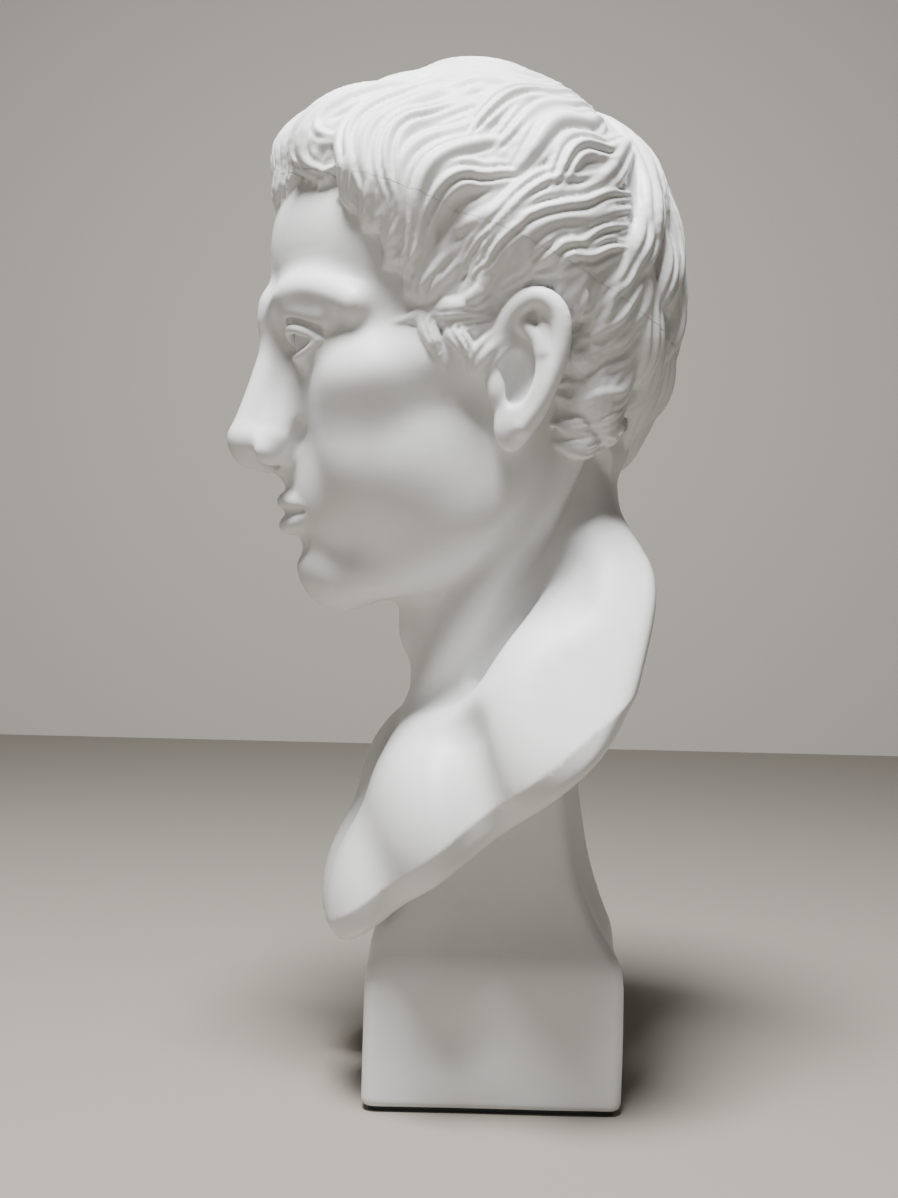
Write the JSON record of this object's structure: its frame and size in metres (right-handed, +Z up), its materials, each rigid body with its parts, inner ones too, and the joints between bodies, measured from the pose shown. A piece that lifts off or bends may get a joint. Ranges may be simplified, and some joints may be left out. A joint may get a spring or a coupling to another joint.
{
  "type": "marble bust",
  "caption": "White marble portrait bust of a clean-shaven man with short wavy hair and bare cut shoulders, pieced from carved blocks on a flared square plinth.",
  "frame": {"origin": "middle of the felt's underside, where the bust rests", "axes": "+Z up, the face looks along -Y, the figure's left side is +X"},
  "size_m": [0.2997, 0.2659, 0.5964],
  "materials": {
    "marble": "honed satin white statuary marble",
    "putty": "matt white lime putty",
    "resin": "cured anchoring resin",
    "steel": "stainless steel",
    "felt": "dark wool felt",
    "cork": "natural cork"
  },
  "bodies": {
    "root": {"felt_sheet": "felt", "plinth_block": "marble", "counterbore_plug": "cork", "rod_nut": "steel", "rod_washer": "steel", "threaded_rod": "steel", "index_pins": "steel", "index_pin_resin": "resin", "plinth_bed": "putty", "flared_support": "marble", "support_bed": "putty", "rod_resin": "resin", "chest": "marble", "neck_bed": "putty", "neck_dowel": "steel", "neck_dowel_resin": "resin", "head": "marble", "crown_bed": "putty", "crown_dowels": "steel", "crown_dowel_resin": "resin", "crown": "marble"}
  },
  "joints": []
}
